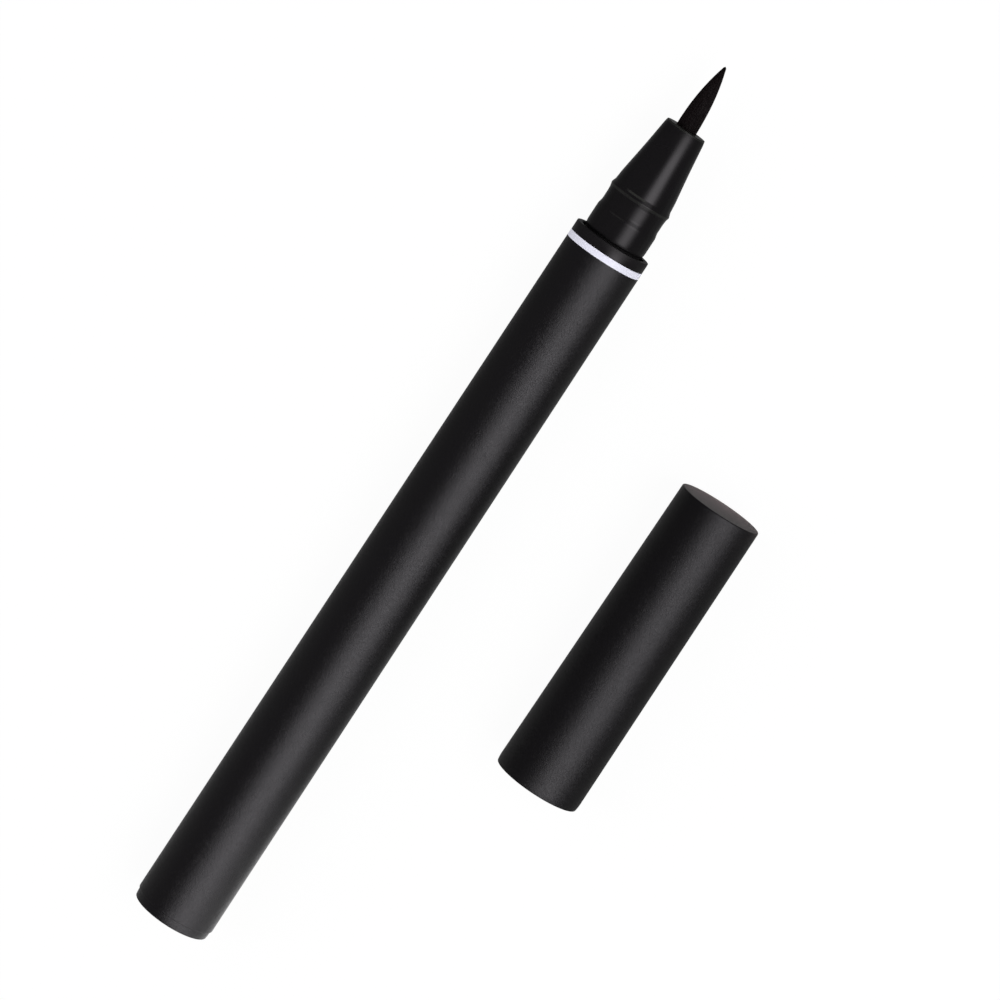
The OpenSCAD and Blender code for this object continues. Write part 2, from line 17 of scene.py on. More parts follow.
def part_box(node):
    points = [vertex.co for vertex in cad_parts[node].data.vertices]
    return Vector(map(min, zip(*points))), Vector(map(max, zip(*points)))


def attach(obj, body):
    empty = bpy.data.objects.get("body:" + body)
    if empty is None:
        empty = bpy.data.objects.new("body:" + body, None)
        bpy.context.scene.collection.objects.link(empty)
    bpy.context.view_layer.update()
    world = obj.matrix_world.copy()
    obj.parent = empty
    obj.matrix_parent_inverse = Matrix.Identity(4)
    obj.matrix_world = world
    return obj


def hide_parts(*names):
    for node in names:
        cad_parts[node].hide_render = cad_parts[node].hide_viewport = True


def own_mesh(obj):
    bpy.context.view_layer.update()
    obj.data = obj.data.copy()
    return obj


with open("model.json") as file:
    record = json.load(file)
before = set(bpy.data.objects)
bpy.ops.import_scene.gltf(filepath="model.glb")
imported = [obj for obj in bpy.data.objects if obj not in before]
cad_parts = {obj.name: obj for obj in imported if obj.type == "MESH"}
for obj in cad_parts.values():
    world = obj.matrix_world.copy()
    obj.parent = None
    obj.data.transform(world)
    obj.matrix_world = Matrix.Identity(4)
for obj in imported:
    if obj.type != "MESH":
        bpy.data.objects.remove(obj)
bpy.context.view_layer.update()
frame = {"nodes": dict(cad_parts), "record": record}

MM = 0.001
WHITE = (1.0, 1.0, 1.0)
BLACK = (0.0, 0.0, 0.0)

# Sides of a turned piece, and how its eased corners are drawn
TURN_SIDES = 192
EASE_STEPS = 6
HOLD = 0.03


# ---- nodes ----


class Wire:
    """A socket that adds Math nodes to its tree when it is used in an expression."""

    def __init__(self, tree, socket):
        self.tree = tree
        self.socket = socket

    def math(self, operation, *values):
        return self.tree.node("ShaderNodeMath", {"operation": operation}, dict(enumerate(values)))

    def __add__(self, other):
        return self.math("ADD", self, other)

    def __radd__(self, other):
        return self.math("ADD", other, self)

    def __sub__(self, other):
        return self.math("SUBTRACT", self, other)

    def __rsub__(self, other):
        return self.math("SUBTRACT", other, self)

    def __mul__(self, other):
        return self.math("MULTIPLY", self, other)

    def __rmul__(self, other):
        return self.math("MULTIPLY", other, self)

    def __truediv__(self, other):
        return self.math("DIVIDE", self, other)

    def __pow__(self, other):
        return self.math("POWER", self, other)

    def __mod__(self, other):
        return self.math("MODULO", self, other)

    def floor(self):
        return self.math("FLOOR", self)

    def cos(self):
        return self.math("COSINE", self)

    def sin(self):
        return self.math("SINE", self)

    def root(self):
        return self.math("SQRT", self)

    def size(self):
        return self.math("ABSOLUTE", self)

    def least(self, other):
        return self.math("MINIMUM", self, other)

    def most(self, other):
        return self.math("MAXIMUM", self, other)

    def rise(self, low, high):
        """0 below low, 1 above high, and a smooth step between them."""
        settings = {"interpolation_type": "SMOOTHSTEP"}
        sockets = {"Value": self, "From Min": low, "From Max": high}
        return self.tree.node("ShaderNodeMapRange", settings, sockets)


class Tree:
    """A node tree, which one method fills."""

    def __init__(self, tree):
        self.tree = tree

    def node(self, kind, settings=None, sockets=None, output=0):
        """Adds a node with its settings, and then a value or a wire for each socket."""
        made = self.tree.nodes.new(kind)
        for name, value in (settings or {}).items():
            setattr(made, name, value)
        for key, value in (sockets or {}).items():
            self.feed(self.pick(made.inputs, key), value)
        return Wire(self, self.pick(made.outputs, output))

    def pick(self, sockets, key):
        if isinstance(key, int):
            return sockets[key]
        return next(s for s in sockets if s.enabled and s.name == key)

    def feed(self, socket, value):
        if isinstance(value, Wire):
            self.tree.links.new(value.socket, socket)
        else:
            socket.default_value = value

    def point(self, x, y, z):
        """A vector from three numbers or wires."""
        return self.node("ShaderNodeCombineXYZ", None, {0: x, 1: y, 2: z})


class Finish(Tree):
    """A material with one Principled shader, patterned on Object coordinates."""

    def __init__(self, name, **plain):
        self.material = bpy.data.materials.new(name)
        self.material.use_nodes = True
        super().__init__(self.material.node_tree)
        self.tree.nodes.clear()
        self.shader = self.tree.nodes.new("ShaderNodeBsdfPrincipled")
        end = self.tree.nodes.new("ShaderNodeOutputMaterial")
        self.tree.links.new(self.shader.outputs["BSDF"], end.inputs["Surface"])
        for key, value in plain.items():
            self.shader.inputs[key.replace("_", " ")].default_value = value
        self.place = self.node("ShaderNodeTexCoord", output="Object")

    def set(self, name, value):
        self.feed(self.shader.inputs[name], value)

    def noise(self, size, stretch=(1, 1, 1), detail=2.0, seed=0.0):
        """Noise with grains about size millimetres across, stretched along the axes."""
        scale = tuple(1 / (size * MM * share) for share in stretch)
        sockets = {"Vector": self.place, "Scale": scale, "Location": (seed, seed, seed)}
        place = self.node("ShaderNodeMapping", None, sockets)
        sockets = {"Vector": place, "Scale": 1.0, "Detail": detail}
        return self.node("ShaderNodeTexNoise", None, sockets)

    def along(self):
        """The distance along the object's length, in millimetres from the middle."""
        return self.node("ShaderNodeSeparateXYZ", None, {0: self.place}) / MM

    def aside(self):
        """The distance across the table, in millimetres from the middle."""
        return self.node("ShaderNodeSeparateXYZ", None, {0: self.place}, 1) / MM

    def from_tail(self):
        """The distance along the pen from its tail, in millimetres."""
        return self.along() - PEN.start.x / MM

    def mix(self, share, first, second):
        """A colour between two colours or wires, by a share."""
        first, second = (c if isinstance(c, Wire) else (*c, 1.0) for c in (first, second))
        sockets = {"Factor": share, "A": first, "B": second}
        return self.node("ShaderNodeMix", {"data_type": "RGBA"}, sockets, "Result")

    def bump(self, height, depth):
        """Raises the surface by a height from 0 to 1 times a depth in millimetres."""
        sockets = {"Strength": 1.0, "Distance": depth * MM, "Height": height}
        self.set("Normal", self.node("ShaderNodeBump", None, sockets))


class Growth(Tree):
    """A Geometry Nodes tree with named inputs, which adds to the piece that it is given."""

    KINDS = {int: "NodeSocketInt", float: "NodeSocketFloat"}

    def __init__(self, name, sizes):
        super().__init__(bpy.data.node_groups.new(name, "GeometryNodeTree"))
        face = self.tree.interface
        face.new_socket("Geometry", in_out="OUTPUT", socket_type="NodeSocketGeometry")
        face.new_socket("Geometry", in_out="INPUT", socket_type="NodeSocketGeometry")
        for label, value in sizes.items():
            face.new_socket(label, in_out="INPUT", socket_type=self.KINDS[type(value)])
        face.new_socket("Material", in_out="INPUT", socket_type="NodeSocketMaterial")
        self.sizes = sizes
        self.given = self.tree.nodes.new("NodeGroupInput")

    def size(self, label):
        return Wire(self, self.given.outputs[label])

    def apply(self, piece, grown, material):
        """Joins what has grown to the piece, as one plain mesh with one material."""
        both = self.tree.nodes.new("GeometryNodeJoinGeometry")
        for wire in (self.size("Geometry"), grown):
            self.tree.links.new(wire.socket, both.inputs[0])
        real = self.node("GeometryNodeRealizeInstances", None, {0: Wire(self, both.outputs[0])})
        sockets = {"Geometry": real, "Material": self.size("Material")}
        painted = self.node("GeometryNodeSetMaterial", None, sockets)
        end = self.tree.nodes.new("NodeGroupOutput")
        self.feed(end.inputs[0], painted)
        grower = piece.modifiers.new("growth", "NODES")
        grower.node_group = self.tree
        values = {**self.sizes, "Material": material}
        for item in self.tree.interface.items_tree:
            if item.in_out == "INPUT" and item.name in values:
                grower[item.identifier] = values[item.name]
        bpy.context.view_layer.update()
        grown_piece = piece.evaluated_get(bpy.context.evaluated_depsgraph_get())
        mesh = bpy.data.meshes.new_from_object(grown_piece)
        piece.modifiers.clear()
        piece.data = mesh


# ---- finishes ----


SATIN_TINT = (0.985, 0.95, 1.0, 1.0)
SMOOTH_TINT = (1.0, 0.955, 1.0, 1.0)
# Grey for scuffs on the nose, and for the highlights painted on it.
SCUFF_AND_HIGHLIGHT_GREY = (0.036, 0.038, 0.033)


def satin_black(name, seed, base=0.0008, gloss=0.5):
    """Black plastic from a spark-eroded mould: even and fine-grained, with faint rub marks."""
    finish = Finish(name, Specular_IOR_Level=gloss, Specular_Tint=SATIN_TINT)
    grain = finish.noise(0.06, detail=1.0, seed=seed)
    cloud = finish.noise(5, stretch=(3, 1, 1), detail=3.0, seed=seed + 3)
    drawn = finish.noise(0.3, stretch=(50, 1, 1), detail=2.0, seed=seed + 7)
    dark = (base * 0.9, base * 0.86, base * 0.88)
    light = (base * 1.12, base * 1.06, base * 1.1)
    finish.set("Base Color", finish.mix(cloud, dark, light))
    finish.set("Roughness", 0.3 + (cloud - 0.5) * 0.04 + (drawn - 0.5) * 0.03)
    finish.bump(grain, 0.038)
    return finish.material


def smooth_black(name, seed, roughness=0.23, base=0.0048, gloss=0.22, scuffs_and_highlights=None, dulled_and_shaded=None,
                 soil_and_shade=0.0015):
    """Black plastic from a polished mould, with faint lengthwise marks.

    The scuff share that it is given turns the colour grey, for scuffs and for painted
    highlights. The dulling share makes it duller and darker towards a given colour, for dull
    places and painted shade.
    """
    finish = Finish(name, Specular_IOR_Level=gloss, Specular_Tint=SMOOTH_TINT)
    cloud = finish.noise(2.5, stretch=(2, 1, 1), detail=3.0, seed=seed)
    marks = finish.noise(0.12, stretch=(30, 1, 1), detail=2.0, seed=seed + 5)
    dark = (base * 0.9, base * 0.85, base * 0.9)
    light = (base * 1.15, base * 1.07, base * 1.15)
    colour = finish.mix(cloud, dark, light)
    if scuffs_and_highlights:
        # Grey for scuffs, and for painted highlights.
        colour = finish.mix(scuffs_and_highlights(finish), colour, SCUFF_AND_HIGHLIGHT_GREY)
    rough = roughness + (cloud - 0.5) * 0.06 + marks.rise(0.6, 0.8) * 0.05
    if dulled_and_shaded:
        # Duller and darker where dull, and painted shade where the collar shades the nose.
        matt_and_shade = dulled_and_shaded(finish)
        colour = finish.mix(matt_and_shade, colour, (soil_and_shade, soil_and_shade * 0.9, soil_and_shade))
        rough = rough + matt_and_shade * 0.5
    finish.set("Base Color", colour)
    finish.set("Roughness", rough)
    finish.bump(marks, 0.0006)
    return finish.material


def nose_scuffs_and_highlights(finish):
    """The grey on the nose: a patchy band just behind the bead's crest, a scratch in front of it,
    and two painted highlights, a lighter line on the slope from the seat to the neck and a line
    along the nozzle's rim.
    """
    from_collar = finish.from_tail() - collar_end
    aside = finish.aside() - PEN.start.y / MM
    crest_at, scratch_at, chamfer_at = 5.79, 6.38, 3.1
    rim_at = nozzle_end - collar_end - 0.21

    def band(wire, middle, half, blur=0.05):
        return 1.0 - (wire - middle).size().rise(half, half + blur)

    patchy = finish.noise(0.5, detail=2.0, seed=47).rise(0.2, 0.6)
    crest = band(from_collar, crest_at, 0.1, 0.12) * (0.12 + patchy * 0.2)
    scratch = band(from_collar, scratch_at, 0.08, 0.08) * band(aside, 0.55, 0.9, 0.7) * 0.6
    # Painted highlight: a lighter line on the slope from the seat to the neck, where it would
    # catch the light.
    chamfer_highlight = band(from_collar, chamfer_at, 0.05) * band(aside, 1.2, 0.8, 0.4) * 0.18
    # Painted highlight: a lighter line along the nozzle's rounded rim.
    rim = from_collar.rise(rim_at - 0.03, rim_at + 0.03) * 0.45
    return crest.most(scratch).most(chamfer_highlight).most(rim)


def nose_shade_and_dulling(finish):
    """How dull and dark the nose is: painted shade next to the collar, where the collar shades
    it, and a film of dried ink by the brush.
    """
    from_tail = finish.from_tail()
    # Painted shade: darker and duller next to the collar, where the collar shades the nose.
    groove = 1.0 - from_tail.rise(collar_end + 0.1, collar_end + 0.6)
    return groove.most(from_tail.rise(nozzle_end - 5.0, nozzle_end + 1.0) * 0.3)


def collar_dulling(finish):
    """The collar gets duller from the white ring to its front."""
    return finish.from_tail().rise(ring_end - 0.2, collar_end + 0.4) * 0.5


def white_band(name):
    """White plastic with a lilac cast and a very fine fleck."""
    finish = Finish(name)
    fleck = finish.noise(0.16, detail=2.0, seed=11)
    colour = finish.mix(fleck.rise(0.35, 0.7), (0.78, 0.785, 0.9), (0.84, 0.845, 0.95))
    finish.set("Base Color", colour)
    finish.set("Roughness", 0.45 + (fleck - 0.5) * 0.1)
    finish.bump(fleck, 0.001)
    return finish.material


def inked_hair(name):
    """Fine filament soaked with ink: nearly black with a warm cast, and dull."""
    finish = Finish(name, Specular_IOR_Level=0.12)
    tuft = finish.noise(0.22, stretch=(5, 1, 1), detail=3.0, seed=4)
    finish.set("Base Color", finish.mix(tuft, (0.003, 0.0017, 0.002), (0.008, 0.0048, 0.0052)))
    finish.set("Roughness", 0.55 + (tuft - 0.5) * 0.2)
    finish.bump(tuft, 0.003)
    return finish.material


def natural_plastic(name, seed, colour):
    """Unpigmented plastic, cloudy and waxy."""
    finish = Finish(name, Subsurface_Weight=0.2, Subsurface_Scale=0.001)
    cloud = finish.noise(1.6, detail=3.0, seed=seed)
    grain = finish.noise(0.12, detail=1.0, seed=seed + 2)
    finish.set("Base Color", finish.mix(cloud, tuple(c * 0.9 for c in colour), colour))
    finish.set("Roughness", 0.42 + (cloud - 0.5) * 0.1)
    finish.bump(grain, 0.0015)
    return finish.material


def steel(name, seed, roughness, colour):
    """Bright steel with fine drawn or ground lines."""
    finish = Finish(name, Metallic=1.0)
    lines = finish.noise(0.05, stretch=(8, 1, 1), detail=2.0, seed=seed)
    finish.set("Base Color", finish.mix(lines, tuple(c * 0.85 for c in colour), colour))
    finish.set("Roughness", roughness + (lines - 0.5) * 0.12)
    finish.bump(lines, 0.0006)
    return finish.material


def black_rubber(name):
    """Soft black rubber with a dusty bloom."""
    finish = Finish(name, Specular_IOR_Level=0.35)
    bloom = finish.noise(0.5, detail=4.0, seed=8)
    finish.set("Base Color", finish.mix(bloom, (0.012, 0.012, 0.012), (0.03, 0.029, 0.028)))
    finish.set("Roughness", 0.68 + (bloom - 0.5) * 0.15)
    finish.bump(bloom, 0.003)
    return finish.material


def bonded_fibre(name):
    """Fine strands along the rod, stained by ink."""
    finish = Finish(name, Specular_IOR_Level=0.2)
    strand = finish.noise(0.06, stretch=(40, 1, 1), detail=2.0, seed=2)
    stain = finish.noise(3, detail=3.0, seed=6)
    shade = strand * 0.6 + stain * 0.4
    finish.set("Base Color", finish.mix(shade, (0.12, 0.11, 0.11), (0.5, 0.48, 0.46)))
    finish.set("Roughness", 0.85 + (strand - 0.5) * 0.1)
    finish.bump(strand, 0.008)
    return finish.material


# ---- turned pieces ----


class Axis:
    """The line that a piece turns about. It starts at a point and runs along +X."""

    def __init__(self, start):
        self.start = start
        self.laid = Matrix.Translation(start) @ Matrix.Rotation(math.radians(90), 4, "Y")

    def reach(self, node):
        """Where a CAD node begins and ends along the axis, in millimetres."""
        low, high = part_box(node)
        return (low.x - self.start.x) / MM, (high.x - self.start.x) / MM


def eased(outline):
    """Each corner of an outline as points and whether they stay hard.

    A corner with a third number is eased: the wall bends over that length, and a ring a
    little before and after the bend keeps the walls beside it flat.
    """
    points = []
    for i, corner in enumerate(outline):
        here = Vector(corner[:2])
        if len(corner) < 3:
            points.append((here, True))
            continue
        ease = corner[2]
        before = (Vector(outline[i - 1][:2]) - here).normalized() * ease
        after = (Vector(outline[(i + 1) % len(outline)][:2]) - here).normalized() * ease
        points.append((here + before * (1 + HOLD), False))
        for step in range(EASE_STEPS + 1):
            t = step / EASE_STEPS
            points.append((here + before * (1 - t) ** 2 + after * t**2, False))
        points.append((here + after * (1 + HOLD), False))
    return points


def snap(wall, radius, middle, width):
    """The corners of a snap rib or groove on a wall."""
    rise = abs(radius - wall)
    return [
        (middle - width / 2, wall),
        (middle - width / 2 + rise, radius),
        (middle + width / 2 - rise, radius),
        (middle + width / 2, wall),
    ]


def turned_mesh(name, axis, outline):
    """A closed solid turned from a closed outline. Points on the axis share one vertex."""
    work = bmesh.new()
    rings = []
    for (distance, radius), hard in eased(outline):
        count = TURN_SIDES if radius > 1e-6 else 1
        ring = []
        for side in range(count):
            angle = 2 * math.pi * side / TURN_SIDES
            spot = Vector((radius * math.cos(angle), radius * math.sin(angle), distance))
            ring.append(work.verts.new(axis.laid @ (spot * MM)))
        rings.append((ring, hard))
    for (ring, _), (after, _) in zip(rings, rings[1:] + rings[:1]):
        if len(ring) == 1 and len(after) == 1:
            continue
        for side in range(TURN_SIDES):
            ahead = (side + 1) % TURN_SIDES
            corners = (ring[side % len(ring)], ring[ahead % len(ring)],
                       after[ahead % len(after)], after[side % len(after)])
            work.faces.new(dict.fromkeys(corners)).smooth = True
    for ring, hard in rings:
        if hard and len(ring) > 1:
            for side in range(TURN_SIDES):
                work.edges.get((ring[side - 1], ring[side])).smooth = False
    bmesh.ops.recalc_face_normals(work, faces=work.faces)
    mesh = bpy.data.meshes.new(name)
    work.to_mesh(mesh)
    work.free()
    return mesh


def placed(name, mesh):
    """A piece of the object with this mesh."""
    piece = bpy.data.objects.new(name, mesh)
    bpy.context.scene.collection.objects.link(piece)
    return piece


def dress(piece, material, body, node):
    """Gives a piece its finish in one slot and its body, and hides the node that it stands for.
    """
    piece.data.materials.clear()
    piece.data.materials.append(material)
    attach(piece, body)
    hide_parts(node)


# ---- where things are ----

MOUNTS = {mount["name"]: Vector(mount["pos_m"]) for mount in frame["record"]["mounts"]}
cap_end_at = MOUNTS["cap_end_face"]
PEN = Axis(MOUNTS["tail_face"])
CAP = Axis(Vector((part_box("cap_shell")[0].x, cap_end_at.y, cap_end_at.z)))

barrel_start, barrel_end = PEN.reach("barrel")
ring_end = PEN.reach("white_ring")[1]
collar_end = PEN.reach("front_collar")[1]
skirt_start, nozzle_end = PEN.reach("front_holder")
brush_start, brush_tip = PEN.reach("brush_bristles")
cap_end = CAP.reach("cap_shell")[1]
liner_start, liner_end = CAP.reach("cap_liner")
inner_start, inner_end = CAP.reach("inner_cap")
spring_start, spring_end = CAP.reach("cap_spring")

# Radii that several pieces share
BORE = 4.3
PRESSED = 4.28
SNAP_IN = 4.18
STOP = 4.4
RING_BORE = 4.42
NOSE = 4.03
CAP_REBATE = 5.08
LINER_BORE = 4.13
BRUSH_BORE = 1.39
CAP_BORE = 4.75
PLUG = 5.09
PLUG_BORE = 3.28
SKIRT_BORE = 3.53

# Other sizes that several pieces share
SNAP_WIDTH = 0.9
SNAP_REACH = 0.1
CAP_WALL = 1.1
INNER_TRAVEL = 1.5
HAIR_SINK = 0.3
SPRING_INSET = 0.27
GOLDEN_ANGLE = math.radians(137.508)
plug_snap = barrel_start + 3.2
skirt_snap = skirt_start + 3.75
cap_snap = liner_start + 1.8

OUTLINES = {}

OUTLINES["barrel"] = [
    (barrel_start, BORE),
    (barrel_start, 5.25, 0.1),
    (barrel_end, 5.005, 0.06),
    (barrel_end, BORE),
    *reversed(snap(BORE, RING_BORE, skirt_snap, SNAP_WIDTH)),
    *reversed(snap(BORE, RING_BORE, plug_snap, SNAP_WIDTH)),
]

OUTLINES["tail_plug"] = [
    (0, 0),
    (0, 5.02, 0.08),
    (0.45, PLUG, 0.4),
    (barrel_start, PLUG),
    (barrel_start, PRESSED),
    (barrel_start + 1.07, PRESSED),
    (barrel_start + 1.17, SNAP_IN),
    *snap(SNAP_IN, PRESSED + SNAP_REACH, plug_snap, SNAP_WIDTH),
    (barrel_start + 5.23, SNAP_IN),
    (barrel_start + 5.33, PRESSED),
    (barrel_start + 6.2, PRESSED),
    (barrel_start + 6.4, PRESSED - 0.2),
    (barrel_start + 6.4, PLUG_BORE),
    (barrel_start + 0.9, PLUG_BORE, 0.3),
    (barrel_start + 0.9, 0),
]

OUTLINES["white_ring"] = [
    (barrel_end, RING_BORE),
    (barrel_end, 4.995, 0.04),
    (ring_end, 4.995, 0.04),
    (ring_end, RING_BORE),
]

OUTLINES["front_collar"] = [
    (ring_end, RING_BORE),
    (ring_end, 4.98, 0.05),
    (collar_end, 4.98, 0.12),
    (collar_end, 4.326, 0.05),
    (collar_end - 0.85, 4.326),
    (collar_end - 0.85, RING_BORE),
]

OUTLINES["front_holder"] = [
    (skirt_start, SKIRT_BORE),
    (skirt_start, SNAP_IN),
    (skirt_start + 0.1, PRESSED),
    *snap(PRESSED, PRESSED + SNAP_REACH, skirt_snap, SNAP_WIDTH),
    (barrel_end, PRESSED),
    (barrel_end, STOP),
    (collar_end - 0.85, STOP),
    (collar_end - 0.85, NOSE - 0.2),
    (collar_end + 0.1, NOSE - 0.2, 0.05),
    (collar_end + 0.25, NOSE - 0.07, 0.05),
    (collar_end + 0.62, NOSE, 0.3),
    (collar_end + 2.95, NOSE, 0.15),
    (collar_end + 3.6, 3.875, 0.15),
    (collar_end + 4.8, 3.875, 0.1),
    (collar_end + 5.38, 3.915, 0.1),
    (collar_end + 5.93, 4.045, 0.05),
    (collar_end + 6.5, 3.845, 0.08),
    (collar_end + 7.76, 3.725, 0.2),
    (collar_end + 11.8, 3.1375, 1.5),
    (nozzle_end - 0.4, 2.69, 0.37),
    (nozzle_end, 2.59, 0.06),
    (nozzle_end, BRUSH_BORE, 0.05),
    (nozzle_end - 4.18, BRUSH_BORE),
    (nozzle_end - 4.18, 2.02),
    (nozzle_end - 10.2, 2.02),
    (nozzle_end - 10.2, 3.0),
    (ring_end + 0.02, 3.0),
    (ring_end + 0.02, SKIRT_BORE),
]

OUTLINES["cap_shell"] = [
    (0, CAP_REBATE, 0.05),
    (0, 5.6, 0.06),
    (0.55, 5.692, 0.5),
    (cap_end, 5.395, 0.18),
    (cap_end, 0),
    (cap_end - 2.6, 0),
    (cap_end - 2.6, 2.9, 0.1),
    (cap_end - CAP_WALL, 2.9),
    (cap_end - CAP_WALL, CAP_BORE),
    *reversed(snap(CAP_BORE, CAP_BORE + 0.12, cap_snap, SNAP_WIDTH)),
    (liner_start, CAP_BORE),
    (liner_start, CAP_REBATE),
]

OUTLINES["cap_liner"] = [
    (liner_start, LINER_BORE + 0.1, 0.04),
    (liner_start, CAP_BORE - 0.02),
    *snap(CAP_BORE - 0.02, CAP_BORE + 0.08, cap_snap, 0.7),
    (liner_end, CAP_BORE - 0.02),
    (liner_end, 3.95),
    (liner_start + 7.18, 3.95, 0.05),
    (liner_start + 7.0, LINER_BORE, 0.05),
    (liner_start + 4.825, LINER_BORE, 0.12),
    (liner_start + 4.475, 3.93, 0.12),
    (liner_start + 3.975, 3.93, 0.12),
    (liner_start + 3.625, LINER_BORE, 0.12),
    (liner_start + 0.1, LINER_BORE, 0.05),
]

OUTLINES["inner_cap"] = [
    (inner_start, 3.3, 0.04),
    (inner_start, 3.78, 0.05),
    (inner_start + 0.1, 3.88, 0.05),
    (inner_start + 6.07, 3.88),
    (inner_start + 6.07, 4.6, 0.06),
    (inner_start + 7.07, 4.6, 0.06),
    (inner_start + 7.07, 2.8, 0.1),
    (inner_end - 0.4, 2.8, 0.1),
    (inner_end, 2.4, 0.1),
    (inner_end, 0),
    (inner_end - 0.8, 0),
    (inner_end - 0.8, 2.0, 0.2),
    (inner_start + 5.67, 2.0, 0.1),
    (inner_start + 5.27, 3.2, 0.2),
    (inner_start + 0.1, 3.2, 0.05),
]

TURNED = [
    ("barrel", PEN, "pen", "barrel_black", satin_black("barrel_plastic", 1)),
    ("tail_plug", PEN, "pen", "plug_black", satin_black("plug_plastic", 21)),
    ("white_ring", PEN, "pen", "ring_white", white_band("ring_plastic")),
    ("front_collar", PEN, "pen", "collar_black",
     smooth_black("collar_plastic", 31, 0.24, 0.006, 0.23, dulled_and_shaded=collar_dulling, soil_and_shade=0.0055)),
    ("front_holder", PEN, "pen", "nose_black",
     smooth_black("nose_plastic", 41, scuffs_and_highlights=nose_scuffs_and_highlights, dulled_and_shaded=nose_shade_and_dulling)),
    ("cap_shell", CAP, "cap", "cap_black", satin_black("cap_plastic", 51, 0.0003, 0.44)),
    ("cap_liner", CAP, "cap", "liner_black", smooth_black("liner_plastic", 61, 0.25, 0.01, 0.27)),
    ("inner_cap", CAP, "inner_cap", "inner_cap_natural",
     natural_plastic("inner_cap_plastic", 71, (0.7, 0.7, 0.66))),
]


# ---- what grows ----


def grow_ribs(shell, material):
    """Adds the ribs that centre the spring, evenly turned around the inside of the cap."""
    sizes = {"Ribs": 6, "Reach": CAP_BORE * MM, "Width": 0.6 * MM, "Height": 1.17 * MM,
             "Length": 15.05 * MM, "Start X": CAP.start.x + (cap_end - 15.6) * MM,
             "Axis Y": CAP.start.y, "Axis Z": CAP.start.z}
    growth = Growth("cap_ribs", sizes)
    count = growth.size("Ribs")
    turn = growth.node("GeometryNodeInputIndex") * (2 * math.pi) / count
    out = growth.size("Reach") - 0.85 * MM + growth.size("Height") * 0.5
    middle = growth.size("Start X") + growth.size("Length") * 0.5
    up = growth.size("Axis Z") + turn.cos() * out
    aside = growth.size("Axis Y") + turn.sin() * out
    spots = growth.node("GeometryNodePoints", None,
                        {"Count": count, "Position": growth.point(middle, aside, up)})
    blank = growth.point(growth.size("Length"), growth.size("Width"), growth.size("Height"))
    rib = growth.node("GeometryNodeMeshCube", None, {"Size": blank})
    turned_by = growth.point(turn * -1.0, 0.0, 0.0)
    ribs = growth.node("GeometryNodeInstanceOnPoints", None,
                       {"Points": spots, "Instance": rib, "Rotation": turned_by})
    growth.apply(shell, ribs, material)


def grow_hairs(root, material):
    """Adds the brush's hairs to its fused root.

    They stand in a spiral of equal cells and draw in by one rule: at the share u of the
    brush's length, a hair's distance from the axis is the root's own times
    1 - (1 - Tip Share) * u ** Power. A few stray a little, and no two end together.
    """
    sizes = {"Hairs": 900, "Stations": 13, "Radius": 1.35 * MM, "Thickness": 0.075 * MM,
             "Start X": PEN.start.x + (nozzle_end - HAIR_SINK) * MM,
             "Length": (brush_tip - nozzle_end + HAIR_SINK) * MM,
             "Axis Y": PEN.start.y, "Axis Z": PEN.start.z, "Power": 2.3, "Tip Share": 0.08,
             "Shortfall": 0.015, "Uneven": 0.045, "Lean": 0.17 * MM, "Stray": 0.05 * MM,
             "Seed": 7}
    growth = Growth("brush_hairs", sizes)
    stations = growth.size("Stations")
    index = growth.node("GeometryNodeInputIndex")
    hair = (index / stations).floor()
    step = index % stations

    def chance(salt, low, high):
        sockets = {"Min": low, "Max": high, "ID": hair, "Seed": growth.size("Seed") + salt}
        return growth.node("FunctionNodeRandomValue", {"data_type": "FLOAT"}, sockets, "Value")

    spread = ((hair + 0.5) / growth.size("Hairs")).root()
    ends = 1.0 - growth.size("Shortfall") * chance(1, 0.0, 1.0) - spread * 0.02
    share = step / (stations - 1.0) * ends
    narrowing = 1.0 - (1.0 - growth.size("Tip Share")) * share ** growth.size("Power")
    uneven = 1.0 - growth.size("Uneven") * chance(4, 0.0, 1.0)
    out = (growth.size("Radius") - growth.size("Thickness") * 0.5) * spread * narrowing * uneven
    turn = hair * GOLDEN_ANGLE
    stray = growth.size("Stray") * share * share * chance(2, 0.0, 1.0) ** 3.0
    stray_turn = chance(3, 0.0, 2 * math.pi)
    lean = growth.size("Lean") * share ** 0.6
    aside = turn.cos() * out + stray_turn.cos() * stray + lean
    up = turn.sin() * out + stray_turn.sin() * stray
    spot = growth.point(growth.size("Start X") + share * growth.size("Length"),
                        growth.size("Axis Y") + aside, growth.size("Axis Z") + up)
    points = growth.node("GeometryNodePoints", None,
                         {"Count": growth.size("Hairs") * stations, "Position": spot})
    curves = growth.node("GeometryNodePointsToCurves", None,
                         {"Points": points, "Curve Group ID": hair, "Weight": step})
    section = growth.node("GeometryNodeCurvePrimitiveCircle", None,
                          {"Resolution": 4, "Radius": 0.5})
    factor = growth.node("GeometryNodeSplineParameter", output="Factor")
    girth = growth.size("Thickness") * (1.0 - 0.9 * factor ** 4.0)
    hairs = growth.node("GeometryNodeCurveToMesh", None,
                        {"Curve": curves, "Profile Curve": section, "Scale": girth,
                         "Fill Caps": True})
    smooth = growth.node("GeometryNodeSetShadeSmooth", None,
                         {"Geometry": hairs, "Shade Smooth": True})
    growth.apply(root, smooth, material)


